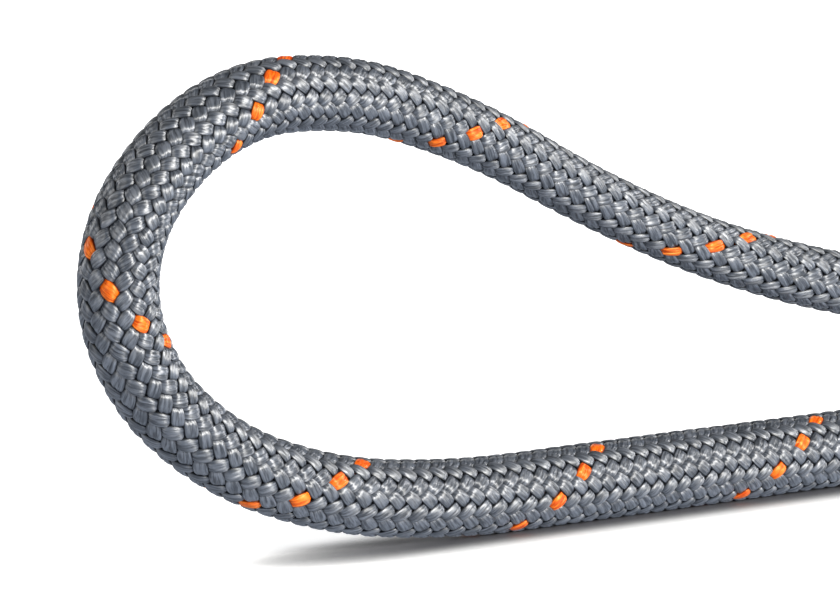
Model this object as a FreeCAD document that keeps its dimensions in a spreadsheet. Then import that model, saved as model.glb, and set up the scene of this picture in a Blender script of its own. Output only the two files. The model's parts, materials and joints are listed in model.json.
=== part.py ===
import FreeCAD, Part
import math
import os

import Sketcher

# Dynamic climbing rope: a standing bight of kernmantle rope, drawn as a chain of
# straight and bent lengths so that it can flex where a rope flexes.
#
# Frame: millimetres, +Z up. The lower run lies on the ground along X, the bight
# stands in the XZ plane (its turn points to -X) and the rope ends point to +X.
# The origin is on the ground, under the middle of the bounding box.
#
# Every length of rope holds a braided sheath (a tube), nine outer core cords and
# three inner core cords. Each end is hot-cut (a fused cap) under a shrink sleeve.

# --- driving dimensions ---------------------------------------------------------
# alias, value, what it is
DIMENSIONS = [
    ("tip_x", 77.84, "x of the lower end's cut face"),
    ("ground_height", 5.48, "height of the lower run's centreline"),
    ("flex_gap", 1.2, "space between two lengths that bend against each other"),
    ("slip_gap", 0.4, "space between two lengths that twist or draw apart"),
    ("wall_ratio", 0.21, "sheath wall over rope radius"),
    ("outer_cord_ratio", 0.235, "outer core cord radius over sheath bore radius"),
    ("outer_ring_ratio", 0.735, "outer cord ring radius over sheath bore radius"),
    ("inner_cord_ratio", 0.225, "inner core cord radius over sheath bore radius"),
    ("inner_ring_ratio", 0.277, "inner cord ring radius over sheath bore radius"),
    ("neck_step", 0.37, "how far the shrink sleeve squeezes the sheath in"),
    ("neck_lead", 0.3, "how far the neck reaches out behind the shrink sleeve"),
    ("shoulder_length", 0.5, "length of the cone from full sheath to neck"),
    ("sleeve_length", 15.0, "shrink sleeve length"),
    ("sleeve_wall", 0.32, "shrink sleeve wall"),
    ("sleeve_clear", 0.05, "radial clearance of the shrink sleeve on the neck"),
    ("sleeve_lip", 0.12, "rounding of the shrink sleeve's lips"),
    ("sleeve_setback", 0.9, "how far the fused face stands out of the sleeve"),
    ("cap_length", 1.6, "thickness of the fused end"),
    ("cap_edge", 0.6, "rounding of the fused end's rim"),
    ("cap_clear", 0.05, "space between the fused end and the rope behind it"),
]

# name, rope radius, then either a straight length and None, or a bend radius and
# a turn in degrees (negative turns towards the inside of the bight), in order
# from the lower end, round the bight, to the upper end
LENGTHS = [
    ("lower_end", 5.40, 41.0, None),
    ("lower_run", 5.48, 38.9, None),
    ("lower_rise", 5.46, 194.2, -6.65),
    ("lower_curve", 5.38, 98.1, -13.72),
    ("heel_curve", 5.39, 55.02, -20.86),
    ("heel_bend", 5.55, 29.70, -25.35),
    ("apex_bend", 5.64, 18.84, -62.43),
    ("crown_bend", 5.47, 32.17, -50.47),
    ("crown_curve", 5.12, 67.38, -18.80),
    ("upper_fall", 4.54, 166.6, -8.90),
    ("upper_run", 4.25, 314.4, 3.80),
    ("upper_curve", 4.26, 215.3, 5.95),
    ("upper_lift", 4.40, 243.0, 4.15),
    ("upper_end", 4.43, 21.5, None),
]

# where the core cords stand round the rope, in degrees
CORD_ANGLES = {
    "outer": [20 + 40 * i for i in range(9)],
    "inner": [0, 120, 240],
}

for name, radius, size, turn in LENGTHS:
    DIMENSIONS.append((name + "_radius", radius, "rope radius here"))
    if turn is None:
        DIMENSIONS.append((name + "_length", size, "centreline length"))
    else:
        DIMENSIONS.append((name + "_bend", size, "centreline bend radius"))
        DIMENSIONS.append((name + "_turn", abs(turn), "degrees turned"))

doc = FreeCAD.newDocument("climbing_rope")
dims = doc.addObject("Spreadsheet::Sheet", "dims")
for row, (alias, number, note) in enumerate(DIMENSIONS, start=1):
    dims.set(f"A{row}", alias)
    dims.set(f"B{row}", f"{number:.6g}")
    dims.setAlias(f"B{row}", alias)
    dims.set(f"C{row}", note)
doc.recompute()


# --- measures: each is a pair (value, expression that drives it) ------------------
ON_AXIS = (0.0, None)


def value(alias):
    return float(dims.get(alias))


def bore_radius(name):
    """The sheath's inner radius in one length of rope."""
    return (
        value(name + "_radius") * (1 - value("wall_ratio")),
        f"dims.{name}_radius * (1 - dims.wall_ratio)",
    )


def neck_radius(name):
    """The squeezed radius under a shrink sleeve."""
    return (
        value(name + "_radius") - value("neck_step"),
        f"dims.{name}_radius - dims.neck_step",
    )


def rope_radius(name):
    return value(name + "_radius"), f"dims.{name}_radius"


def rope_centre(name, turn):
    """Height of the rope's centre in its sketch: bends turn about the sketch's axis."""
    if turn is None:
        return ON_AXIS
    return value(name + "_bend"), f"dims.{name}_bend"


# --- sketches -------------------------------------------------------------------
made = []


def new_body(label):
    body = doc.addObject("PartDesign::Body", label)
    made.append(body)
    return body


def new_sketch(body, name, role):
    """A sketch across the rope (YZ_Plane) or along it (XZ_Plane)."""
    sketch = body.newObject("Sketcher::SketchObject", name)
    plane = [f for f in body.Origin.OriginFeatures if f.Role == role][0]
    sketch.AttachmentSupport = [(plane, "")]
    sketch.MapMode = "FlatFace"
    return sketch


def bind(sketch, constraint, expression):
    index = sketch.addConstraint(constraint)
    sketch.setExpression(f"Constraints[{index}]", expression)


def add_circle(sketch, across, up, radius):
    """A circle whose centre and radius are measures."""
    centre = FreeCAD.Vector(across[0], up[0], 0)
    circle = sketch.addGeometry(
        Part.Circle(centre, FreeCAD.Vector(0, 0, 1), radius[0]), False
    )
    bind(sketch, Sketcher.Constraint("Radius", circle, radius[0]), radius[1])
    # geometry -1 is the horizontal axis (its point 1 is the origin), -2 the vertical
    for kind, (size, expression), axis in (("DistanceX", across, -2), ("DistanceY", up, -1)):
        if abs(size) < 1e-9:
            sketch.addConstraint(Sketcher.Constraint("PointOnObject", circle, 3, axis))
        elif size > 0:
            bind(sketch, Sketcher.Constraint(kind, -1, 1, circle, 3, size), expression)
        else:
            # a distance is positive, so it is measured back to the origin
            flipped = Sketcher.Constraint(kind, circle, 3, -1, 1, -size)
            bind(sketch, flipped, f"-({expression})")


def add_polygon(sketch, points):
    """A closed polygon of (along, out) points, each coordinate a measure."""
    count = len(points)
    corners = [FreeCAD.Vector(along[0], out[0], 0) for along, out in points]
    for i in range(count):
        sketch.addGeometry(Part.LineSegment(corners[i], corners[(i + 1) % count]), False)
    for i in range(count):
        sketch.addConstraint(Sketcher.Constraint("Coincident", i, 2, (i + 1) % count, 1))
    for i, point in enumerate(points):
        for kind, (size, expression) in zip(("DistanceX", "DistanceY"), point):
            bind(sketch, Sketcher.Constraint(kind, -1, 1, i, 1, size), expression)


# --- features -------------------------------------------------------------------
def add_pad(body, sketch, length_by):
    pad = body.newObject("PartDesign::Pad", "pad_" + body.Label)
    pad.Profile = sketch
    pad.setExpression("Length", length_by)
    return pad


def add_revolution(body, sketch, prefix):
    revolution = body.newObject("PartDesign::Revolution", prefix + body.Label)
    revolution.Profile = sketch
    revolution.ReferenceAxis = (sketch, ["H_Axis"])
    return revolution


def carry(body, sketch, name, turn, gap_by):
    """Carry a profile along its length of rope, both ways from the middle."""
    if turn is None:
        feature = add_pad(body, sketch, f"dims.{name}_length - {gap_by}")
    else:
        feature = add_revolution(body, sketch, "bend_")
        feature.setExpression(
            "Angle", f"dims.{name}_turn - {gap_by} / dims.{name}_bend * 180 / 3.14159265"
        )
    feature.Midplane = True


def ring_edges(shape, radius, beyond_x=-math.inf):
    """Names of the circular edges of one radius that lie beyond an x."""
    return [
        f"Edge{i}"
        for i, edge in enumerate(shape.Edges, start=1)
        if isinstance(edge.Curve, Part.Circle)
        and abs(edge.Curve.Radius - radius) < 1e-4
        and edge.CenterOfMass.x > beyond_x
    ]


def add_fillet(body, name, pad, edges, radius_alias):
    fillet = body.newObject("PartDesign::Fillet", name)
    fillet.Base = (pad, edges)
    fillet.setExpression("Radius", "dims." + radius_alias)


# --- pieces ---------------------------------------------------------------------
def tube_sheath(name, turn, gap_by):
    """A plain length of sheath."""
    body = new_body("sheath_" + name)
    sketch = new_sketch(body, "ring_" + name, "YZ_Plane")
    centre = rope_centre(name, turn)
    add_circle(sketch, ON_AXIS, centre, rope_radius(name))
    add_circle(sketch, ON_AXIS, centre, bore_radius(name))
    carry(body, sketch, name, turn, gap_by)
    return body


def cord_profile(ring, name, turn):
    """The body of one ring of core cords, and the sketch of their sections."""
    body = new_body(f"core_{ring}_{name}")
    body.AllowCompound = True
    sketch = new_sketch(body, f"cords_{ring}_{name}", "YZ_Plane")
    centre, centre_by = rope_centre(name, turn)
    bore, bore_by = bore_radius(name)
    cord = (bore * value(ring + "_cord_ratio"), f"{bore_by} * dims.{ring}_cord_ratio")
    ring_radius = bore * value(ring + "_ring_ratio")
    ring_by = f"{bore_by} * dims.{ring}_ring_ratio"
    for angle in CORD_ANGLES[ring]:
        cosine, sine = math.cos(math.radians(angle)), math.sin(math.radians(angle))
        up_by = f"{ring_by} * {sine:.9f}"
        if centre_by:
            up_by = f"{centre_by} + {up_by}"
        across = (ring_radius * cosine, f"{ring_by} * {cosine:.9f}")
        add_circle(sketch, across, (centre + ring_radius * sine, up_by), cord)
    return body, sketch


def stepped_sheath(name):
    """The last length of sheath: full size, then a cone down to the squeezed neck."""
    body = new_body("sheath_" + name)
    sketch = new_sketch(body, "wall_" + name, "XZ_Plane")
    neck_x = value(name + "_length") - sum(
        value(alias) for alias in ("sleeve_length", "sleeve_setback", "neck_lead")
    )
    neck_by = f"dims.{name}_length - dims.sleeve_length - dims.sleeve_setback - dims.neck_lead"
    start = (value("slip_gap") / 2, "dims.slip_gap / 2")
    shoulder = (neck_x - value("shoulder_length"), neck_by + " - dims.shoulder_length")
    neck = (neck_x, neck_by)
    stop = (
        value(name + "_length") - value("cap_length") - value("cap_clear"),
        f"dims.{name}_length - dims.cap_length - dims.cap_clear",
    )
    bore, thin, full = bore_radius(name), neck_radius(name), rope_radius(name)
    add_polygon(
        sketch,
        [(start, bore), (stop, bore), (stop, thin), (neck, thin), (shoulder, full), (start, full)],
    )
    add_revolution(body, sketch, "turn_").Angle = 360
    return body


def shrink_sleeve(name, label):
    """Adhesive shrink sleeve over the neck, with rounded lips."""
    body = new_body(label)
    sketch = new_sketch(body, "ring_" + label, "YZ_Plane")
    neck, neck_by = neck_radius(name)
    inner, inner_by = neck + value("sleeve_clear"), neck_by + " + dims.sleeve_clear"
    outer, outer_by = inner + value("sleeve_wall"), inner_by + " + dims.sleeve_wall"
    add_circle(sketch, ON_AXIS, ON_AXIS, (inner, inner_by))
    add_circle(sketch, ON_AXIS, ON_AXIS, (outer, outer_by))
    pad = add_pad(body, sketch, "dims.sleeve_length")
    doc.recompute()
    add_fillet(body, "lips_" + label, pad, ring_edges(pad.Shape, outer), "sleeve_lip")
    return body


def fused_cap(name, label):
    """The hot-cut face: sheath and core melted into one disc, its outward rim rounded."""
    body = new_body(label)
    sketch = new_sketch(body, "disc_" + label, "YZ_Plane")
    radius = neck_radius(name)
    add_circle(sketch, ON_AXIS, ON_AXIS, radius)
    pad = add_pad(body, sketch, "dims.cap_length")
    doc.recompute()
    rim = ring_edges(pad.Shape, radius[0], beyond_x=value("cap_length") / 2)
    add_fillet(body, "rim_" + label, pad, rim, "cap_edge")
    return body


# --- lengths of rope --------------------------------------------------------------
def ahead(x, z, heading, distance):
    """The point a distance away along a heading in degrees."""
    angle = math.radians(heading)
    return x + distance * math.cos(angle), z + distance * math.sin(angle)


def put(body, x, z, heading):
    """Place a body in the XZ plane with its own +X turned to a heading in degrees."""
    body.Placement = FreeCAD.Placement(
        FreeCAD.Vector(x, 0, z), FreeCAD.Rotation(FreeCAD.Vector(0, 1, 0), -heading)
    )


def end_length(name, x, z, outward):
    """A rope end, built outwards from the joint with its neighbour."""
    side = name.split("_")[0]
    far = value(name + "_length")
    put(stepped_sheath(name), x, z, outward)
    sleeve_start = far - value("sleeve_setback") - value("sleeve_length")
    sleeve = shrink_sleeve(name, "shrink_sleeve_" + side)
    put(sleeve, *ahead(x, z, outward, sleeve_start), outward)
    cap = fused_cap(name, "fused_end_" + side)
    put(cap, *ahead(x, z, outward, far - value("cap_length")), outward)
    cord_by = f"dims.{name}_length - dims.slip_gap / 2 - dims.cap_length - dims.cap_clear"
    for ring in CORD_ANGLES:
        body, sketch = cord_profile(ring, name, None)
        add_pad(body, sketch, cord_by)
        put(body, *ahead(x, z, outward, value("slip_gap") / 2), outward)


def middle_length(name, turn, gaps, x, z, heading):
    """A sheath and its cords; gaps holds the aliases of the gaps before and after.

    x, z is the middle of a straight length's sheath or the centre of a bend.
    """
    before, after = gaps
    gap_by = f"((dims.{before} + dims.{after}) / 2)"
    pieces = [tube_sheath(name, turn, gap_by)]
    for ring in CORD_ANGLES:
        body, sketch = cord_profile(ring, name, turn)
        carry(body, sketch, name, turn, gap_by)
        pieces.append(body)
    for body in pieces:
        put(body, x, z, heading)


# --- the rope, length by length ---------------------------------------------------
x, z, heading = value("tip_x"), value("ground_height"), 180.0
last = len(LENGTHS) - 1
for i, (name, radius, size, turn) in enumerate(LENGTHS):
    # the rope twists next to its lower end, draws apart next to its upper end,
    # and bends everywhere else
    before = "slip_gap" if i == 1 else "flex_gap"
    after = "slip_gap" if i == last - 1 else "flex_gap"
    # unequal gaps at the two ends shift the middle of the length a little
    shift = (value(before) - value(after)) / 4
    if turn is None:
        length = value(name + "_length")
        next_x, next_z = ahead(x, z, heading, length)
        if i == 0:
            end_length(name, next_x, next_z, heading + 180.0)
        elif i == last:
            end_length(name, x, z, heading)
        else:
            middle_x, middle_z = ahead(x, z, heading, length / 2 + shift)
            middle_length(name, turn, (before, after), middle_x, middle_z, heading)
        x, z = next_x, next_z
    else:
        bend = value(name + "_bend")
        sign = 1 if turn > 0 else -1
        next_heading = heading + sign * value(name + "_turn")
        centre_x, centre_z = ahead(x, z, heading + sign * 90.0, bend)
        middle = (heading + next_heading) / 2 + sign * math.degrees(shift / bend)
        # local +Z runs from the centre of the bend to the rope
        facing = middle if sign < 0 else middle + 180.0
        middle_length(name, turn, (before, after), centre_x, centre_z, facing)
        x, z = ahead(centre_x, centre_z, next_heading - sign * 90.0, bend)
        heading = next_heading

doc.recompute()

# --- check and write --------------------------------------------------------------
for obj in doc.Objects:
    bad = [s for s in obj.State if s in ("Invalid", "Error")]
    if bad:
        raise RuntimeError(f"{obj.Label} is {bad}")
for body in made:
    shape = body.Shape
    if shape.isNull() or not shape.isValid():
        raise RuntimeError(f"{body.Label} has no valid shape")
    kind, ring = body.Label.split("_")[:2]
    expected = len(CORD_ANGLES[ring]) if kind == "core" else 1
    if len(shape.Solids) != expected:
        raise RuntimeError(f"{body.Label} has {len(shape.Solids)} solids")

os.makedirs("parts", exist_ok=True)
for body in made:
    body.Shape.exportStep(f"parts/{body.Label}.step")
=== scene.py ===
"""A braided rope bent into a narrow bight, with a sleeve and a hot-cut face at each end.

The centreline lies in the XZ plane. The lower arm starts near the floor and runs towards -X,
the bight turns up and over at the -X end, and the upper arm runs back towards +X.
Rope sizes are in millimetres; the stage, lights and camera are in metres.
"""
import json
import math

import bmesh
import bpy
import numpy as np
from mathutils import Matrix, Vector

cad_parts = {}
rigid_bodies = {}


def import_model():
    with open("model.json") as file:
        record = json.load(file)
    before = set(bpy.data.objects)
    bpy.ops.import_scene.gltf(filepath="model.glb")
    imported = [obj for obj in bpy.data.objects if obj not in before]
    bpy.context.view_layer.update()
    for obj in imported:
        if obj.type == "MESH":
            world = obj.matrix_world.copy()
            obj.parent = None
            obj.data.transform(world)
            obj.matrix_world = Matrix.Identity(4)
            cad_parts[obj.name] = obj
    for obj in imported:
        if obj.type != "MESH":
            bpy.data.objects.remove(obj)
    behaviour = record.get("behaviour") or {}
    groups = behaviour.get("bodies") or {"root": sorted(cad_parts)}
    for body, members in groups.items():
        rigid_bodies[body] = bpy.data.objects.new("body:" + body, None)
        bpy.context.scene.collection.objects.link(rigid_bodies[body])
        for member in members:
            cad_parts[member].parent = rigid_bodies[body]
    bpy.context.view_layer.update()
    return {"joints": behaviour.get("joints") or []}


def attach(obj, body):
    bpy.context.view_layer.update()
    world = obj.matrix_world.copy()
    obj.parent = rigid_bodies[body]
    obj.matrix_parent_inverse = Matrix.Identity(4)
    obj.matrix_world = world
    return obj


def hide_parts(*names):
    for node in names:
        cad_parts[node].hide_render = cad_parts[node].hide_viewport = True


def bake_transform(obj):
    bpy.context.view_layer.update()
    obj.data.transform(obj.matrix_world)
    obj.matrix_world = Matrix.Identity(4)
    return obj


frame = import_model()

MM = 0.001
FULL_TURN = 2 * math.pi

# ------------------------------------------------------------------------------------------
# Centreline: straight lengths and arcs, end to end, from the lower tip
START_X, START_Z, START_HEADING = 77.84, 5.48, math.pi
JOINT_TOLERANCE = 0.0005  # metres

# body, length or bend radius, turn in degrees (None: straight)
CHAIN = [
    ("lower_end", 41.0, None),
    ("lower_run", 38.9, None),
    ("lower_rise", 194.2, -6.65),
    ("lower_curve", 98.1, -13.72),
    ("heel_curve", 55.02, -20.86),
    ("heel_bend", 29.70, -25.35),
    ("apex_bend", 18.84, -62.43),
    ("crown_bend", 32.17, -50.47),
    ("crown_curve", 67.38, -18.80),
    ("upper_fall", 166.6, -8.90),
    ("upper_run", 314.4, 3.80),
    ("upper_curve", 215.3, 5.95),
    ("upper_lift", 243.0, 4.15),
    ("upper_end", 21.5, None),
]
BODIES = [row[0] for row in CHAIN]


def build_centreline():
    """Rows of start length, x, z, heading and curvature for each span, and the whole length."""
    x, z, heading, start = START_X, START_Z, START_HEADING, 0.0
    spans = []
    for _, size, turn in CHAIN:
        bend = 0.0 if turn is None else math.copysign(1.0 / size, turn)
        length = size if turn is None else size * abs(math.radians(turn))
        spans.append((start, x, z, heading, bend))
        if bend == 0.0:
            x += length * math.cos(heading)
            z += length * math.sin(heading)
        else:
            turned = heading + bend * length
            x += (math.sin(turned) - math.sin(heading)) / bend
            z -= (math.cos(turned) - math.cos(heading)) / bend
            heading = turned
        start += length
    return np.array(spans), start


SPANS, LENGTH = build_centreline()
CUTS = np.r_[SPANS[:, 0], LENGTH]

for joint in frame["joints"]:  # the centreline has to be the CAD's own
    if "pos_m" in joint:
        span = min(BODIES.index(joint["parent"]), BODIES.index(joint["child"])) + 1
        gap = math.dist(joint["pos_m"], (SPANS[span, 1] * MM, 0.0, SPANS[span, 2] * MM))
        if gap > JOINT_TOLERANCE:
            raise SystemExit(f"the centreline is {gap / MM:.2f} mm from joint {joint['name']}")


def centre(along):
    """x, z and heading of the centreline at a length along it (any shape of array)."""
    along = np.asarray(along, float)
    span = np.clip(np.searchsorted(SPANS[:, 0], along, side="right") - 1, 0, len(SPANS) - 1)
    start, x, z, heading, bend = np.moveaxis(SPANS[span], -1, 0)
    run = along - start
    turned = heading + bend * run
    divisor = np.where(bend == 0, 1.0, bend)
    arc_x = x + (np.sin(turned) - np.sin(heading)) / divisor
    arc_z = z - (np.cos(turned) - np.cos(heading)) / divisor
    x = np.where(bend == 0, x + run * np.cos(heading), arc_x)
    z = np.where(bend == 0, z + run * np.sin(heading), arc_z)
    return x, z, turned


def place(along, angle, radius):
    """Points in metres, from length, angle round the rope and radius.

    Angle 0 faces -Y and 90 degrees is the outside of the bight.
    """
    x, z, heading = centre(along)
    outwards = radius * np.sin(angle)
    x = x - outwards * np.sin(heading)
    z = z + outwards * np.cos(heading)
    return np.stack([x, -radius * np.cos(angle), z], -1) * MM


# ------------------------------------------------------------------------------------------
# Braid: 16 strands each way, 2 over 2 under. The tables have a knot every 10 mm of rope.
KNOT_GAP = 10.0
# mm of rope to one count of the braid
PITCH = [
    2.594, 2.607, 2.620, 2.634, 2.647, 2.545, 2.569, 2.630, 2.710, 2.820, 2.938, 3.027,
    3.044, 3.012, 2.930, 2.735, 2.465, 2.260, 2.238, 2.311, 2.403, 2.489, 2.557, 2.640,
    2.757, 2.931, 3.098, 3.198, 3.237, 3.256, 3.262, 3.252, 3.235, 3.215, 3.194,
]
# degrees the braid is turned round the rope
TWIST = [
    -17.9, -21.9, -26.0, -30.0, -34.1, -33.0, -30.0, -29.3, -32.4, -31.6, -27.5, -22.6,
    -19.5, -17.0, -9.9, -0.4, 6.7, 8.0, 6.2, 3.9, 1.4, -1.0, -2.9, -4.7,
    -7.2, -8.2, -6.6, -4.1, -1.6, -0.2, 0.7, 1.7, 2.7, 3.6, 4.6,
]
# mm the braid runs ahead on the outside of the bight, and lags on the inside
SKEW = [
    -0.04, -0.10, -0.15, -0.19, -0.19, -0.18, -0.17, -0.17, -0.13, -0.03, 0.05, 0.02,
    -0.23, -0.46, -0.39, -0.23, -0.17, -0.34, -0.47, -0.52, -0.53, -0.55, -0.68, -0.81,
    -0.75, -0.56, -0.32, -0.08, 0.12, 0.25, 0.28, 0.24, 0.17, 0.09, 0.01,
]
# mm from the centreline to the outside of the rope
RADIUS = [
    5.400, 5.400, 5.400, 5.405, 5.438, 5.466, 5.482, 5.486, 5.479, 5.460, 5.431, 5.393,
    5.361, 5.355, 5.420, 5.521, 5.618, 5.636, 5.554, 5.492, 5.433, 5.308, 5.106, 4.853,
    4.614, 4.429, 4.303, 4.234, 4.220, 4.257, 4.339, 4.420, 4.430, 4.430, 4.430,
]
# mm a float is shifted along the rope to lie flatter round it
FLATTEN = [0.2] * 12 + [0.22, 0.26] + [0.28] * 6 + [0.26, 0.22] + [0.2] * 13

ANCHOR_LENGTH, ANCHOR_COUNT = 170.0, 44.784  # the braid count at one length
NECK_LOWER, NECK_UPPER = 16.45, 321.82  # beyond these the braid is drawn in towards the tips
NECK_STEP = 0.37
NECK_BLEND = 0.9
SHEATH_FROM, SHEATH_TO = 1.65, 336.62

STRANDS = 16
SHARE = math.radians(360 / STRANDS)
PERIOD = 2.0  # counts from one dive of a strand to the next
RINGS = 16  # to a period
MIN_RING_GAP = 0.03  # counts between a cut end and its next ring


def smooth_table(values, along):
    """Cubic (Catmull-Rom) through the knots."""
    table = np.asarray(values, float)
    knot = np.clip(np.asarray(along, float) / KNOT_GAP, 0, len(table) - 1.0001)
    i = knot.astype(int)
    part = knot - i
    before, here, after = table[np.maximum(i - 1, 0)], table[i], table[i + 1]
    beyond = table[np.minimum(i + 2, len(table) - 1)]
    cubic = 3 * (here - after) + beyond - before
    square = 2 * before - 5 * here + 4 * after - beyond
    return here + 0.5 * part * (after - before + part * (square + part * cubic))


# The count falls as the length grows: the pitch's inverse summed in fine steps
FINE_STEP, OVERRUN = 0.25, 4.0
FINE = np.arange(-OVERRUN, LENGTH + OVERRUN, FINE_STEP)
fine_pitch = smooth_table(PITCH, FINE)
COUNTS = np.r_[0.0, -np.cumsum(FINE_STEP * 0.5 * (1 / fine_pitch[1:] + 1 / fine_pitch[:-1]))]
COUNTS += ANCHOR_COUNT - np.interp(ANCHOR_LENGTH, FINE, COUNTS)


def count_at(along):
    return np.interp(along, FINE, COUNTS)


def length_at(count):
    return np.interp(-np.asarray(count), -COUNTS, FINE)


def smooth_step(value, low, high):
    share = np.clip((value - low) / (high - low), 0, 1)
    return share * share * (3 - 2 * share)


def rope_radius(along):
    lower = smooth_step(NECK_LOWER - along, -NECK_BLEND, NECK_BLEND)
    upper = smooth_step(along - NECK_UPPER, -NECK_BLEND, NECK_BLEND)
    return smooth_table(RADIUS, along) - NECK_STEP * (lower + upper)


def lift(wave):
    """How far a strand stands out (1) or in (-1), for the cosine of its place in the period."""
    return 0.85 * np.tanh(2.3 * wave) / math.tanh(2.3) + 0.15 * wave


# Places across a strand's top and underside, as shares of its half width
TOP_ACROSS = np.array(
    [-1.0, -0.95, -0.82, -0.6, -0.36, -0.14, 0.0, 0.14, 0.36, 0.6, 0.82, 0.95, 1.0]
)
LOW_ACROSS = np.array([0.78, 0.4, 0.0, -0.4, -0.78])
ACROSS = np.r_[TOP_ACROSS, LOW_ACROSS]


def section_heights(open_share, split):
    """Heights at ACROSS: half thickness 1, with a groove between the strand's two yarns."""
    crown = (1 - np.abs(TOP_ACROSS) ** 2.7) ** 0.5
    groove = np.exp(-((TOP_ACROSS / 0.15) ** 2))
    top = crown[None, :] - (split * (0.4 + 0.6 * open_share))[:, None] * groove[None, :]
    low = -0.9 * (1 - np.abs(LOW_ACROSS) ** 2.6) ** 0.5
    return np.concatenate([top, np.repeat(low[None, :], len(open_share), 0)], 1)


def strand_counts(under, start, end, cut_start, cut_end):
    """Counts of a strand's rings. A cut end moves to the nearest place where it lies under."""
    low, high = float(count_at(end)), float(count_at(start))
    if cut_end:
        low = under + PERIOD * round((low - under) / PERIOD)
    if cut_start:
        high = under + PERIOD * round((high - under) / PERIOD)
    ring_gap = PERIOD / RINGS
    first = math.ceil((low - under) / ring_gap + 1e-6)
    last = math.floor((high - under) / ring_gap - 1e-6)
    counts = under + np.arange(first, last + 1) * ring_gap
    counts = counts[(counts > low + MIN_RING_GAP) & (counts < high - MIN_RING_GAP)]
    return np.r_[low, counts, high][::-1]


def strand_rings(way, index, start, end, cut_start, cut_end):
    """Points, UVs and the painted shade mask of each point, for one strand (way +1 or -1)."""
    against = way < 0
    shift = 0.5 * against
    counts = strand_counts(index + 1.0 - shift, start, end, cut_start, cut_end)
    along = length_at(counts)
    twist = np.radians(smooth_table(TWIST, along))
    pitch = smooth_table(PITCH, along)
    radius = rope_radius(along)
    angle = twist - way * SHARE * (counts - index - shift)
    up = lift(way * np.cos(STRANDS / 2 * (angle - twist)))
    open_share = 0.5 + 0.5 * up
    lay = np.arctan2(radius * SHARE, pitch)
    thick = 0.138 * radius
    # small seeded irregularities, continuous along the strand and the same in every piece
    seed = (index * 2.399 + 1.3 * against) % FULL_TURN
    wander = np.sin(counts * 1.93 + seed * 5) + 0.7 * np.sin(counts * 0.71 + seed * 9)
    swell = 1 + 0.035 * np.sin(counts * 1.31 + seed * 7) + 0.02 * np.sin(counts * 2.77 + seed * 3)
    width = pitch * np.sin(lay) * (0.80 + 0.33 * open_share) * (1 + 0.3 * (swell - 1))
    rise = 0.62 * thick
    middle = radius - thick / 2 - rise
    # the two yarns lie apart most where the braid is drawn out, on the upper arm
    split = 0.14 + 0.32 * smooth_step(along, 225.0, 275.0)
    split = split * (1 + 0.45 * np.sin(np.round(counts / PERIOD) * 2.2 + seed * 11))
    sideways = ACROSS[None, :] * width[:, None] / 2 + 0.012 * wander[:, None]
    height = section_heights(open_share, split)
    height = height * (thick * (0.80 + 0.20 * open_share) * swell)[:, None] / 2
    # each line along the top ripples in its own way
    line = np.arange(len(ACROSS))[None, :]
    ripple = np.sin(counts[:, None] * (1.3 + 0.41 * line) + seed * (line + 3))
    height += 0.016 * ripple * (line < len(TOP_ACROSS)) * (1 - np.abs(ACROSS[None, :]) ** 6)
    out = middle[:, None] + rise[:, None] * up[:, None] + height
    ring_along = along[:, None] - way * sideways * np.sin(lay)[:, None]
    ring_angle = angle[:, None] + sideways * np.cos(lay)[:, None] / radius[:, None]
    # floats lie flatter round the rope than the strands' mean run
    flatten = np.sin(STRANDS / 2 * (ring_angle - twist[:, None]))
    ring_along = (
        ring_along
        + smooth_table(SKEW, along)[:, None] * np.sin(ring_angle)
        - smooth_table(FLATTEN, along)[:, None] * flatten
    )
    run = np.cumsum(np.r_[0, np.abs(np.diff(along)) / np.cos(lay[1:])])[:, None] + along[0] * 1.27
    across_uv = ACROSS[None, :] * 0.5 + index * 3.0 + 50.0 * against
    uv = np.stack(np.broadcast_arrays(run, across_uv), -1)
    # painted shade mask: 1 on a strand's crown, down to 0 in the gaps beside it and where it dives
    # under; the yarn material paints these places darker and less glossy
    beside = smooth_step(np.abs(ACROSS), 0.72, 1.0)
    painted_shade_mask = smooth_step(open_share, 0.18, 0.62)[:, None] * (1 - beside)[None, :]
    return place(ring_along, ring_angle, out), uv, painted_shade_mask


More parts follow.
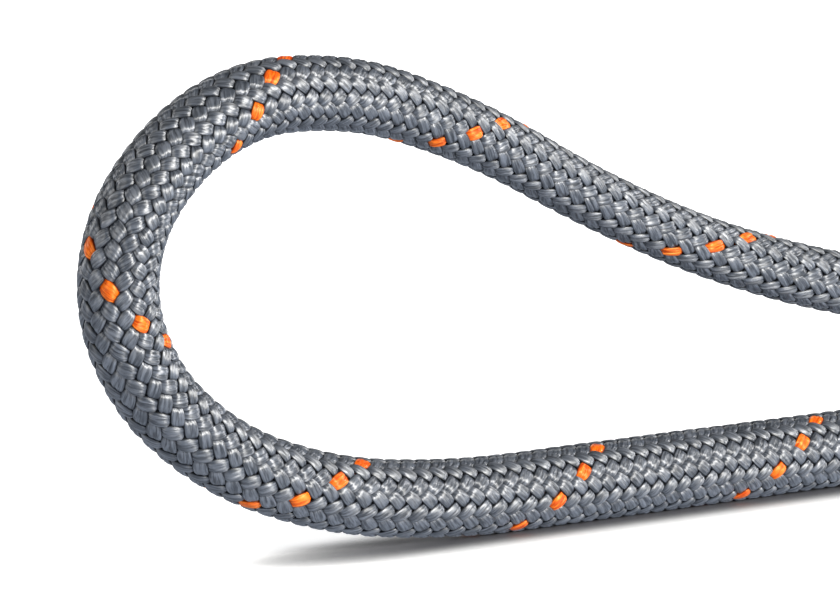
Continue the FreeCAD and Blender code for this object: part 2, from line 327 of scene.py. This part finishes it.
class TubeMesh:
    """Collects tubes into one mesh with closed ends and a UV map along each tube."""

    def __init__(self):
        self.points, self.faces, self.uvs, self.tones, self.painted_shade_mask = [], [], [], [], []
        self.size = 0

    def tube(self, rings, uv, tone, painted_shade_mask=None):
        """rings: points by ring and place round it; the last argument is the painted shade mask, 1
        where no shade is painted (None: all 1).
        """
        number, around, _ = rings.shape
        base = self.size
        points = rings.reshape(-1, 3)
        self.points.append(points)
        j = np.arange(around)
        j_next = (j + 1) % around
        i = np.arange(number - 1)[:, None] * around
        corners = [i + j, i + j_next, i + around + j_next, i + around + j]
        quads = np.stack(corners, -1).reshape(-1, 4)
        corner_uvs = [uv[:-1, j], uv[:-1, j_next], uv[1:, j_next], uv[1:, j]]
        quad_uv = np.stack(corner_uvs, 2).reshape(-1, 4, 2)
        corner = points[quads] - points.mean(0)
        volume = sum(
            np.einsum("ij,ij->i", corner[:, 0], np.cross(corner[:, k], corner[:, k + 1])).sum()
            for k in (1, 2)
        )
        flip = volume < 0  # faces look outwards
        if flip:
            quads, quad_uv = quads[:, ::-1], quad_uv[:, ::-1]
        self.faces.append(quads + base)
        self.uvs.append(quad_uv)
        self.size += number * around
        for end in (0, number - 1):
            self.points.append(rings[end].mean(0)[None])
            ring = base + end * around
            cap = np.stack([np.full(around, self.size), ring + j_next, ring + j], -1)
            self.size += 1
            if (end != 0) == (not flip):
                cap = cap[:, ::-1]
            # a repeated last corner marks a triangle
            self.faces.append(np.concatenate([cap, cap[:, -1:]], 1))
            self.uvs.append(np.broadcast_to(uv[end].mean(0), (around, 4, 2)))
        total = number * around + 2
        self.tones.append(np.full(total, tone, np.float32))
        self.painted_shade_mask.append(np.ones(total) if painted_shade_mask is None else np.r_[painted_shade_mask.ravel(), 0.0, 0.0])

    def build(self, name):
        points = np.concatenate(self.points)
        faces = np.concatenate(self.faces)
        triangle = faces[:, 2] == faces[:, 3]
        sizes = np.where(triangle, 3, 4)
        keep = np.ones(faces.shape, bool)
        keep[triangle, 3] = False
        loops = faces[keep]
        mesh = bpy.data.meshes.new(name)
        mesh.vertices.add(len(points))
        mesh.vertices.foreach_set("co", points.astype(np.float32).ravel())
        mesh.loops.add(len(loops))
        mesh.loops.foreach_set("vertex_index", loops.astype(np.int32))
        mesh.polygons.add(len(sizes))
        starts = np.r_[0, np.cumsum(sizes)[:-1]].astype(np.int32)
        mesh.polygons.foreach_set("loop_start", starts)
        mesh.polygons.foreach_set("loop_total", sizes.astype(np.int32))
        mesh.update(calc_edges=True)
        mesh.validate()
        layer = mesh.uv_layers.new(name="Strand")
        layer.data.foreach_set("uv", np.concatenate(self.uvs)[keep].astype(np.float32).ravel())
        for label, values in (("tone", self.tones), ("painted_shade_mask", self.painted_shade_mask)):
            attribute = mesh.attributes.new(label, "FLOAT", "POINT")
            attribute.data.foreach_set("value", np.concatenate(values).astype(np.float32))
        return add_smooth_object(name, mesh)


def add_smooth_object(name, mesh):
    mesh.polygons.foreach_set("use_smooth", np.ones(len(mesh.polygons), bool))
    mesh.update()
    obj = bpy.data.objects.new(name, mesh)
    bpy.context.scene.collection.objects.link(obj)
    return obj


# ------------------------------------------------------------------------------------------
# Pieces: one length of rope across each joint, cut where the bodies are stiff
JOINTS = len(BODIES) - 1
MIDS = 0.5 * (CUTS[:-1] + CUTS[1:])
MIN_REACH, MAX_REACH = 1.5, 9.0
STILL_LOWER, STILL_UPPER = 17.6, 321.4  # the end bodies stay still from here to the tip
CUT_MARGIN = 3.3  # rope beside a cut that stays still
REACH_RADIUS = 5.7  # just outside the rope


def piece_span(i, start, end):
    """The lengths between which piece i lies, for rope from start to end."""
    return (start if i == 0 else MIDS[i]), (end if i == JOINTS - 1 else MIDS[i + 1])


def safe_reach(i):
    """How far the bend may spread either side of joint i so that the cut ends stay still."""
    x, z, heading = centre(CUTS[i + 1])
    before = STILL_LOWER if i == 0 else MIDS[i] + CUT_MARGIN
    after = STILL_UPPER if i == JOINTS - 1 else MIDS[i + 1] - CUT_MARGIN
    reaches = []
    for sign, still in ((-1, before), (1, after)):
        points = place(still, np.radians(np.arange(0, 360, 15.0)), REACH_RADIUS) / MM
        ahead = (points[:, 0] - x) * math.cos(heading) + (points[:, 2] - z) * math.sin(heading)
        reaches.append(max(MIN_REACH, min(MAX_REACH, float((sign * ahead).min()))))
    return reaches


def add_piece(tubes, name, i, replaced, slot):
    """The tubes as one object across joint i, between its two bodies."""
    near, far = BODIES[i], BODIES[i + 1]
    obj = tubes.build(f"{name}_{near}_to_{far}")
    x, z, heading = (float(value) for value in centre(CUTS[i + 1]))
    before, after = safe_reach(i)
    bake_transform(obj)
    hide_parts(f"{replaced}_{near}", f"{replaced}_{far}")
    return slot, obj


def build_sheath():
    """The braid: strand 0 of the first way is the tracer, all others the sheath."""
    made = []
    for i in range(JOINTS):
        start, end = piece_span(i, SHEATH_FROM, SHEATH_TO)
        for label in ("sheath", "tracer"):
            tubes = TubeMesh()
            for way in (1, -1):
                for index in range(STRANDS):
                    if (way > 0 and index == 0) is not (label == "tracer"):
                        continue
                    points, uv, painted_shade_mask = strand_rings(way, index, start, end, i > 0, i < JOINTS - 1)
                    tone = (index * 0.618 + 0.31 * (way < 0)) % 1.0
                    tubes.tube(points, uv, tone, painted_shade_mask)
            made.append(add_piece(tubes, f"{label}_braid", i, "sheath", label))
    return made


# ------------------------------------------------------------------------------------------
# Core: cords of three plies twisted together, 9 round 3
WALL_SHARE, WALL_GAP = 0.21, 0.42  # the sheath's share of the radius, and mm more inside it
# label, cords, radius of their ring and of a cord as shares of the bore
CORDS = (("core_outer", 9, 0.735, 0.235), ("core_inner", 3, 0.277, 0.225))
PLIES = 3
PLY_SIDES = 10
PLY_RADIUS, PLY_OFFSET = 0.464, 0.52  # shares of the cord's radius
CORD_LAY = 7.6  # mm of rope to one turn of the plies
CORD_STEP = 0.62  # mm of rope between rings
CAP_DEPTH = 1.62  # of the hot-cut ends, where the core starts


def cord_plies(tubes, start, end, spot, ring_share, cord_share, hand):
    """One cord, at angle spot in the core; hand is the direction of its twist."""
    steps = max(8, int((end - start) / CORD_STEP))
    along = np.linspace(start, end, steps + 1)
    bore = rope_radius(along) * (1 - WALL_SHARE) - WALL_GAP
    cord = bore * cord_share
    ply = cord * PLY_RADIUS
    offset = cord * PLY_OFFSET
    around = np.linspace(0, FULL_TURN, PLY_SIDES, endpoint=False)
    for i in range(PLIES):
        twist = hand * along / CORD_LAY * FULL_TURN + i * FULL_TURN / PLIES + spot * 1.7
        x = bore * ring_share * math.cos(spot) + offset * np.cos(twist)
        y = bore * ring_share * math.sin(spot) + offset * np.sin(twist)
        x = x[:, None] + ply[:, None] * np.cos(around + twist[:, None])
        y = y[:, None] + ply[:, None] * np.sin(around + twist[:, None])
        points = place(along[:, None], np.arctan2(y, x), np.hypot(x, y))
        around_uv = around[None, :] / FULL_TURN + i * 2.0 + spot
        uv = np.stack(np.broadcast_arrays(along[:, None], around_uv), -1)
        tubes.tube(points, uv, (spot * 0.37 + i * 0.29) % 1.0)


def build_core():
    made = []
    for i in range(JOINTS):
        start, end = piece_span(i, CAP_DEPTH, LENGTH - CAP_DEPTH)
        for label, number, ring_share, cord_share in CORDS:
            tubes = TubeMesh()
            for cord in range(number):
                spot = FULL_TURN * cord / number
                hand = 1 if cord % 2 else -1
                cord_plies(tubes, start, end, spot, ring_share, cord_share, hand)
            made.append(add_piece(tubes, f"{label}_cords", i, label, "core"))
    return made


# ------------------------------------------------------------------------------------------
# Ends: a shrink sleeve over the sheath, and the hot-cut face.
# Depths run from the tip into the rope; inward is +1 where that is towards larger lengths.
SLEEVE_NEAR, SLEEVE_FAR = 0.9, 15.9
SLEEVE_LIP = 0.12
SLEEVE_WALL = 0.31
SLEEVE_STEP = 0.22
SLEEVE_AROUND, CAP_AROUND = 160, 132
CAP_EDGE = 0.55  # radius of the cap's rounded edge


def braid_height(along, angle):
    """0 to 1: how high the braid stands at a place, for what lies tightly over it."""
    turned = angle - np.radians(smooth_table(TWIST, along))
    count = count_at(along)
    share = turned / SHARE
    wave = np.cos(STRANDS / 2 * turned)
    first_way = 0.45 * wave + 0.55 * np.cos(FULL_TURN * (share + count))
    second_way = -0.45 * wave + 0.55 * np.cos(FULL_TURN * (share - count + 0.5))
    return 0.5 + 0.5 * np.maximum(first_way, second_way)


def profile_grids(profile, around):
    """Grids (profile step, round step) of the profile's three columns and of the angle."""
    columns = [np.repeat(column[:, None], around, 1) for column in np.array(profile).T]
    angle = np.linspace(0, FULL_TURN, around, endpoint=False)
    return *columns, np.broadcast_to(angle, columns[0].shape)


def shell_mesh(name, along, radius, angle, closed):
    """Surface from grids. Its profile closes on itself, or else runs from axis to axis."""
    rows, around = along.shape
    j = np.arange(around)
    j_next = (j + 1) % around
    us = np.cumsum(np.r_[0, np.hypot(np.diff(along[:, 0]), np.diff(radius[:, 0]))])
    vs = np.linspace(0, 1, around + 1)
    faces, uvs = [], []
    for i in range(rows if closed else rows - 1):
        after = (i + 1) % rows
        here, there = i * around, after * around
        faces.append(np.stack([here + j, here + j_next, there + j_next, there + j], -1))
        u_here, u_there = us[i], us[after] if after else us[i] + 0.1
        corners = ((u_here, j), (u_here, j + 1), (u_there, j + 1), (u_there, j))
        uvs.append(np.stack([np.stack([np.full(around, u), vs[k]], -1) for u, k in corners], 1))
    mesh = bpy.data.meshes.new(name)
    points = place(along, angle, radius).reshape(-1, 3)
    mesh.from_pydata(points.tolist(), [], np.concatenate(faces).tolist())
    layer = mesh.uv_layers.new(name="Strand")
    layer.data.foreach_set("uv", np.concatenate(uvs).astype(np.float32).ravel())
    bm = bmesh.new()
    bm.from_mesh(mesh)
    bmesh.ops.remove_doubles(bm, verts=bm.verts, dist=1e-8)
    bmesh.ops.recalc_face_normals(bm, faces=bm.faces)
    bm.to_mesh(mesh)
    bm.free()
    return add_smooth_object(name, mesh)


def build_sleeve(side, tip, inward, rope):
    near, far, lip, inner = SLEEVE_NEAR, SLEEVE_FAR, SLEEVE_LIP, rope - SLEEVE_WALL
    near_lip, far_lip = near + lip, far - lip

    def lip_arc(middle, start, end):
        return [
            (middle + lip * math.cos(turn), rope - lip + lip * math.sin(turn), 0.0)
            for turn in np.linspace(start, end, 5)
        ]

    # depth, radius, share of the braid's relief
    profile = lip_arc(near_lip, math.pi, math.pi / 2)
    for depth in np.arange(near_lip + SLEEVE_STEP, far_lip - 0.1, SLEEVE_STEP):
        relief = min(1.0, (depth - near - lip) / 0.8, (far_lip - depth) / 0.8)
        profile.append((depth, rope, relief))
    profile += lip_arc(far_lip, math.pi / 2, 0)
    profile.append((far - 0.02, inner + 0.03, 0.0))
    profile += [(depth, inner, 0.0) for depth in np.linspace(far - 0.2, near + 0.2, 12)]
    profile.append((near + 0.02, inner + 0.03, 0.0))

    depth, radius, share, angle = profile_grids(profile, SLEEVE_AROUND)
    along = tip + inward * depth
    hollow = 1 - braid_height(along, angle)
    slow = 0.5 + 0.25 * np.sin(3 * angle + 0.35 * depth + 0.4)
    slow += 0.25 * np.sin(5 * angle - 0.21 * depth + 2.0)
    radius = radius - share * (0.095 * hollow + 0.03 * slow)
    obj = shell_mesh(f"sleeve_{side}", along, radius, angle, closed=True)
    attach(obj, f"{side}_end")
    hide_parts(f"shrink_sleeve_{side}")
    return obj


def cord_dents(x, y, bore):
    """1 over the middle of a core cord, 0 between the cords."""
    dents = np.zeros_like(x)
    for _, number, ring, cord in CORDS:
        for i in range(number):
            spot = FULL_TURN * i / number
            off_x, off_y = x - bore * ring * math.cos(spot), y - bore * ring * math.sin(spot)
            away = np.hypot(off_x, off_y) / (bore * cord)
            dents = np.maximum(dents, 1 - np.clip(away, 0, 1) ** 2)
    return dents


def build_fused(side, tip, inward, rope):
    full = rope - NECK_STEP
    # depth, radius, share of the melted face's relief
    profile = [(0.0, radius, 1.0) for radius in np.linspace(0.0, full - CAP_EDGE, 34)]
    for turn in np.linspace(0, math.pi / 2, 9)[1:]:
        depth = CAP_EDGE - CAP_EDGE * math.cos(turn)
        radius = full - CAP_EDGE + CAP_EDGE * math.sin(turn)
        profile.append((depth, radius, 0.6 * math.cos(turn)))
    profile += [(depth, full, 0.0) for depth in (0.8, 1.1, 1.4, 1.58)]
    profile.append((CAP_DEPTH, full - 0.1, 0.0))
    profile += [(CAP_DEPTH, radius, 0.0) for radius in np.linspace(full - 0.6, 0.0, 6)]

    depth, radius, share, angle = profile_grids(profile, CAP_AROUND)
    x, y = radius * np.cos(angle), radius * np.sin(angle)
    waves = (
        np.sin(2.1 * x + 1.3 * y + 0.7) * np.sin(1.7 * y - 0.9 * x + 2.1)
        + 0.6 * np.sin(4.3 * x - 1.1 * y + 0.2) * np.sin(3.9 * y + 1.6 * x)
        + 0.3 * np.sin(9.1 * x + 2.2 * y) * np.sin(8.3 * y - 3.1 * x + 1.0)
    )
    sink = share * (0.16 - 0.13 * cord_dents(x, y, full * (1 - 0.13)) + 0.045 * waves)
    rim = share * 0.10 * np.clip((radius - full * 0.55) / (full * 0.45), 0, 1)
    along = tip + inward * (depth + np.clip(sink - rim + 0.06 * share, 0.0, 0.5))
    wall = (depth > 0.05) * (depth < 1.55)
    scallop = 1 - 0.006 * (0.5 + 0.5 * np.cos(STRANDS * angle)) * wall
    obj = shell_mesh(f"hot_cut_{side}", along, radius * scallop, angle, closed=False)
    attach(obj, f"{side}_end")
    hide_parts(f"fused_end_{side}")
    return obj


# ------------------------------------------------------------------------------------------
# Materials
class Graph:
    """The node tree of a material or world. Inputs are constants or other nodes' outputs."""

    def __init__(self, owner):
        owner.use_nodes = True
        self.tree = owner.node_tree
        self.tree.nodes.clear()

    def add(self, kind, inputs, **settings):
        made = self.tree.nodes.new(kind)
        for key, value in settings.items():
            setattr(made, key, value)
        for key, value in inputs.items():
            if isinstance(value, bpy.types.NodeSocket):
                self.tree.links.new(value, made.inputs[key])
            else:
                made.inputs[key].default_value = value
        return made

    def node(self, kind, inputs=None, output=0, **settings):
        return self.add(kind, inputs or {}, **settings).outputs[output]

    def surface(self, inputs):
        shader = self.node("ShaderNodeBsdfPrincipled", inputs)
        self.add("ShaderNodeOutputMaterial", {"Surface": shader})

    def math(self, operation, first, second):
        inputs = {0: first, 1: second, 2: 0.0}
        return self.node("ShaderNodeMath", inputs, operation=operation)

    def times(self, first, second):
        return self.math("MULTIPLY", first, second)

    def plus(self, first, second):
        return self.math("ADD", first, second)

    def vector(self, operation, inputs, output=0):
        return self.node("ShaderNodeVectorMath", inputs, output, operation=operation)

    def noise(self, vector, scale, detail=2.0, rough=0.5):
        inputs = {"Vector": vector, "Scale": scale, "Detail": detail, "Roughness": rough}
        return self.node("ShaderNodeTexNoise", inputs)

    def combine(self, x, y, z):
        return self.node("ShaderNodeCombineXYZ", {0: x, 1: y, 2: z})

    def grain(self, u, v, stretch, seed, detail=1.0, rough=0.5):
        """Noise drawn out along a strand; stretch is its scale along and across."""
        scaled = self.combine(self.times(u, stretch[0]), self.times(v, stretch[1]), seed)
        return self.noise(scaled, 1.0, detail, rough)

    def mix(self, share, first, second, blend="MIX"):
        inputs = {0: share, 6: first, 7: second}
        return self.node("ShaderNodeMix", inputs, 2, data_type="RGBA", blend_type=blend)

    def ramp(self, value, low, high, start=0.0, end=1.0):
        """start to end, smoothly, as the value goes from low to high."""
        inputs = dict(enumerate((value, low, high, start, end)))
        return self.node("ShaderNodeMapRange", inputs, interpolation_type="SMOOTHSTEP")

    def uv(self):
        split = self.add("ShaderNodeSeparateXYZ", {0: self.node("ShaderNodeUVMap", uv_map="Strand")})
        return split.outputs[0], split.outputs[1]

    def tangent(self):
        return self.node("ShaderNodeTangent", direction_type="UV_MAP", uv_map="Strand")

    def attribute(self, name):
        return self.node("ShaderNodeAttribute", output="Fac", attribute_name=name)

    def position(self):
        return self.node("ShaderNodeNewGeometry", output="Position")

    def camera_ray(self):
        return self.node("ShaderNodeLightPath", output="Is Camera Ray")

    def bump(self, height, distance, strength):
        inputs = {"Strength": strength, "Distance": distance, "Height": height}
        return self.node("ShaderNodeBump", inputs)


def rgb(red, green, blue):
    return (red, green, blue, 1.0)


ACROSS_FILAMENTS = 0.25  # anisotropic rotation that spreads the gleam across the filaments


def yarn_material(name, dark, mid, light, specular, ior, gleam, glow=0.0):
    """Filament yarn: fine streaks, an uneven tone, painted shade in the gaps, an optional painted
    glow, and a gleam that runs across the filaments.
    """
    material = bpy.data.materials.new(name)
    graph = Graph(material)
    times, plus, ramp = graph.times, graph.plus, graph.ramp
    u, v = graph.uv()
    tone = graph.attribute("tone")
    seed = times(tone, 37.0)
    wave = graph.grain(u, v, (0.5, 2.0), seed)
    bent = plus(v, times(graph.math("SUBTRACT", wave, 0.5), 0.16))
    bundle = graph.grain(u, bent, (0.28, 5.2), seed, rough=0.6)
    fine = graph.grain(u, bent, (0.6, 13.0), seed, detail=2.0, rough=0.6)
    cloud = graph.grain(u, v, (0.3, 0.7), seed)
    lean = graph.grain(u, bent, (0.3, 6.0), plus(seed, 7.0))
    # colour: streaks, clouds over them, and painted shade that darkens the gaps and the ends where a
    # strand dives under
    streak = plus(times(bundle, 0.6), times(fine, 0.4))
    base = graph.mix(ramp(streak, 0.38, 0.62), dark, light)
    base = graph.mix(ramp(cloud, 0.35, 0.65, end=0.4), base, mid)
    painted_shade_mask = ramp(graph.attribute("painted_shade_mask"), 0.0, 0.75, start=0.25)
    tone_and_painted_shade = times(plus(0.9, times(tone, 0.2)), painted_shade_mask)
    base = graph.mix(1.0, base, graph.combine(tone_and_painted_shade, tone_and_painted_shade, tone_and_painted_shade), "MULTIPLY")
    # filaments wave a little along their length, each bundle in its own way
    height = plus(times(bundle, 1.0), times(fine, 0.22))
    tangent = graph.tangent()
    tilt = times(graph.math("SUBTRACT", lean, 0.5), 0.50)
    tilted = graph.vector("SCALE", {0: tangent, "Scale": tilt})
    bumped = graph.bump(height, distance=0.00016, strength=0.9)
    normal = graph.vector("ADD", {0: bumped, 1: tilted})
    inputs = {
        "Base Color": base,
        "Roughness": plus(0.42, times(fine, 0.12)),
        # painted shade also dims the gleam in the gaps
        "Specular IOR Level": times(ramp(streak, 0.36, 0.64, specular * 0.45, specular), painted_shade_mask),
        "IOR": ior,
        "Specular Tint": gleam,
        "Anisotropic": 0.82,
        "Anisotropic Rotation": ACROSS_FILAMENTS,
        "Tangent": tangent,
        "Normal": graph.vector("NORMALIZE", {0: normal}),
    }
    # painted glow: the yarn emits its own colour, though it is no lamp
    if glow:
        inputs |= {"Emission Color": base, "Emission Strength": glow}
    graph.surface(inputs)
    return material


def core_material():
    material = bpy.data.materials.new("core_yarn")
    graph = Graph(material)
    u, v = graph.uv()
    seed = graph.times(graph.attribute("tone"), 9.0)
    fibre = graph.grain(u, v, (0.4, 22.0), seed, detail=3.0, rough=0.6)
    light_share = graph.ramp(fibre, 0.35, 0.65)
    graph.surface({
        "Base Color": graph.mix(light_share, rgb(0.40, 0.39, 0.36), rgb(0.62, 0.61, 0.57)),
        "Roughness": 0.55,
        "Anisotropic": 0.6,
        "Anisotropic Rotation": ACROSS_FILAMENTS,
        "Tangent": graph.tangent(),
        "Normal": graph.bump(fibre, distance=0.00004, strength=0.6),
    })
    return material


def sleeve_material():
    """Near-black, mottled, with faint lines drawn along the rope."""
    material = bpy.data.materials.new("shrink_sleeve")
    graph = Graph(material)
    at = graph.position()
    mottled = graph.noise(at, 420.0, detail=3.0, rough=0.6)
    fine = graph.noise(at, 5200.0)
    u, v = graph.uv()
    drawn = graph.grain(u, v, (0.25, 60.0), seed=3.0, detail=2.0)
    dark, light, line = rgb(0.016, 0.016, 0.018), rgb(0.034, 0.034, 0.037), rgb(0.07, 0.07, 0.074)
    base = graph.mix(graph.ramp(mottled, 0.35, 0.7), dark, light)
    height = graph.plus(graph.times(fine, 0.5), graph.times(drawn, 0.5))
    graph.surface({
        "Base Color": graph.mix(graph.ramp(drawn, 0.55, 0.8, end=0.35), base, line),
        "Roughness": graph.plus(0.36, graph.times(mottled, 0.16)),
        "Coat Weight": 0.15,
        "Coat Roughness": 0.25,
        "Normal": graph.bump(height, distance=0.00003, strength=0.7),
    })
    return material


def fused_material(side, tip, rope):
    """Pale melted core with brown specks, inside a dark blotchy rim."""
    material = bpy.data.materials.new(f"fused_nylon_{side}")
    graph = Graph(material)
    times, plus, ramp, mix = graph.times, graph.plus, graph.ramp, graph.mix
    at = graph.position()
    x, z, _ = (float(value) for value in centre(tip))
    distance = graph.vector("DISTANCE", {0: at, 1: (x * MM, 0.0, z * MM)}, "Value")
    away = graph.math("DIVIDE", distance, rope * MM)
    blotch = graph.noise(at, 900.0, detail=4.0, rough=0.62)
    small = graph.noise(at, 3600.0, detail=3.0, rough=0.6)
    ragged = plus(away, times(graph.math("SUBTRACT", blotch, 0.5), 0.22))
    core = mix(ramp(blotch, 0.35, 0.65), rgb(0.46, 0.42, 0.34), rgb(0.66, 0.63, 0.55))
    core = mix(ramp(small, 0.6, 0.8, end=0.5), core, rgb(0.20, 0.15, 0.10))
    rim = mix(ramp(small, 0.4, 0.7), rgb(0.085, 0.088, 0.10), rgb(0.17, 0.175, 0.19))
    height = plus(blotch, times(small, 0.4))
    graph.surface({
        "Base Color": mix(ramp(ragged, 0.74, 0.86), core, rim),
        "Roughness": plus(0.24, times(blotch, 0.25)),
        "Coat Weight": 0.2,
        "Normal": graph.bump(height, distance=0.00009, strength=0.6),
    })
    return material


# ------------------------------------------------------------------------------------------
# Build the rope
pieces = build_sheath() + build_core()
yarns = {
    "sheath": yarn_material(
        "sheath_yarn",
        dark=rgb(0.015, 0.019, 0.026),
        mid=rgb(0.042, 0.050, 0.064),
        light=rgb(0.088, 0.100, 0.124),
        specular=1.0,
        ior=1.8,
        gleam=rgb(1, 1, 1),
    ),
    "tracer": yarn_material(
        "tracer_yarn",
        dark=rgb(0.42, 0.030, 0.001),
        mid=rgb(0.80, 0.10, 0.003),
        light=rgb(1.0, 0.20, 0.008),
        specular=0.9,
        ior=1.7,
        gleam=rgb(1.0, 0.68, 0.28),
        # painted glow that brightens the orange
        glow=0.10,
    ),
    "core": core_material(),
}
for slot, obj in pieces:
    obj.data.materials.append(yarns[slot])

sleeve_mat = sleeve_material()
# side, length at the tip, inward, rope radius
for end in (("lower", 0.0, 1, RADIUS[0]), ("upper", LENGTH, -1, RADIUS[-1])):
    side, tip, _, rope = end
    build_sleeve(*end).data.materials.append(sleeve_mat)
    build_fused(*end).data.materials.append(fused_material(side, tip, rope))

# ------------------------------------------------------------------------------------------
# Floor, world, lights and camera, in metres
scene = bpy.context.scene
FLOOR_HALF, FLOOR_Z = 4.0, -0.00001
LAMP_AIM = Vector((-0.01, 0.0, 0.03))
WARM = (1.0, 0.985, 0.95)

# name, azimuth (0 towards -Y, 90 towards +X), elevation, distance, size, power, colour
LAMPS = (
    ("key", 12, 20, 1.5, 0.42, 40.0, WARM),
    ("side", 74, 12, 1.5, 0.42, 10.0, (1.0, 0.99, 0.97)),
    ("overhead", 40, 82, 1.5, 1.2, 2.5, (1, 1, 1)),
    ("rim", 150, 20, 1.5, 0.6, 2.0, (1, 1, 1)),
    ("back", 208, 24, 1.6, 0.7, 9.0, (1, 1, 1)),
    ("fill", -80, 18, 1.8, 0.9, 12.0, (1.0, 0.985, 0.94)),
)


def floor_material():
    """White to the camera with a painted dark contact shadow; bluish grey to all other rays."""
    material = bpy.data.materials.new("floor_white")
    graph = Graph(material)
    inputs = {"Distance": 0.009}
    openness = graph.node("ShaderNodeAmbientOcclusion", inputs, "AO", samples=8)
    seen = graph.camera_ray()
    # painted contact shadow: the floor is darker to the camera where ambient occlusion finds the
    # rope close
    shadow = graph.ramp(openness, 0.30, 0.92)
    visible = graph.mix(shadow, rgb(0.10, 0.10, 0.11), rgb(0.92, 0.92, 0.92))
    away = graph.vector("LENGTH", {0: graph.position()}, "Value")
    # camera-only glow keeps the floor white, brighter further out, and fades near the rope with the
    # painted contact shadow
    glow = graph.times(graph.ramp(openness, 0.6, 1.0), graph.ramp(away, 0.25, 0.7, 0.6, 1.1))
    graph.surface({
        "Base Color": graph.mix(seen, rgb(0.60, 0.67, 0.80), visible),
        "Roughness": 0.6,
        "Emission Color": rgb(1, 1, 1),
        "Emission Strength": graph.times(seen, glow),
    })
    return material


def build_floor():
    mesh = bpy.data.meshes.new("floor")
    corners = [(-1, -1), (1, -1), (1, 1), (-1, 1)]
    points = [(x * FLOOR_HALF, y * FLOOR_HALF, FLOOR_Z) for x, y in corners]
    mesh.from_pydata(points, [], [(0, 1, 2, 3)])
    obj = bpy.data.objects.new("floor", mesh)
    scene.collection.objects.link(obj)
    obj.data.materials.append(floor_material())


def build_world():
    """White to the camera, a faint cool light to all else."""
    world = bpy.data.worlds.new("studio")
    scene.world = world
    graph = Graph(world)
    kind = "ShaderNodeBackground"
    seen = graph.node(kind, {"Color": rgb(1, 1, 1), "Strength": 1.15})
    lit = graph.node(kind, {"Color": rgb(0.82, 0.90, 1.0), "Strength": 0.05})
    mixed = graph.node("ShaderNodeMixShader", {0: graph.camera_ray(), 1: lit, 2: seen})
    graph.add("ShaderNodeOutputWorld", {"Surface": mixed})


def build_lamp(name, azimuth, elevation, distance, size, power, colour):
    """A square soft light at a direction and distance from LAMP_AIM."""
    turn, tilt = math.radians(azimuth), math.radians(elevation)
    flat = math.cos(tilt)
    way = Vector((math.sin(turn) * flat, -math.cos(turn) * flat, math.sin(tilt)))
    data = bpy.data.lights.new(name, "AREA")
    data.shape = "SQUARE"
    data.size = size
    data.energy = power
    data.color = colour
    obj = bpy.data.objects.new(name, data)
    obj.location = LAMP_AIM + way * distance
    obj.rotation_mode = "QUATERNION"
    obj.rotation_quaternion = way.to_track_quat("Z", "Y")
    scene.collection.objects.link(obj)


def build_camera():
    data = bpy.data.cameras.new("camera")
    data.lens = 478.93
    data.sensor_width = 36.0
    data.clip_start, data.clip_end = 0.05, 20.0
    camera = bpy.data.objects.new("camera", data)
    camera.location = (-1.01787, -1.14789, 0.24497)
    look = Vector((0.64983, 0.74755, -0.13744))
    camera.rotation_mode = "QUATERNION"
    camera.rotation_quaternion = look.to_track_quat("-Z", "Y")
    scene.collection.objects.link(camera)
    scene.camera = camera


build_floor()
build_world()
for row in LAMPS:
    build_lamp(*row)
build_camera()
scene.view_settings.view_transform = "Standard"
scene.view_settings.look = "None"
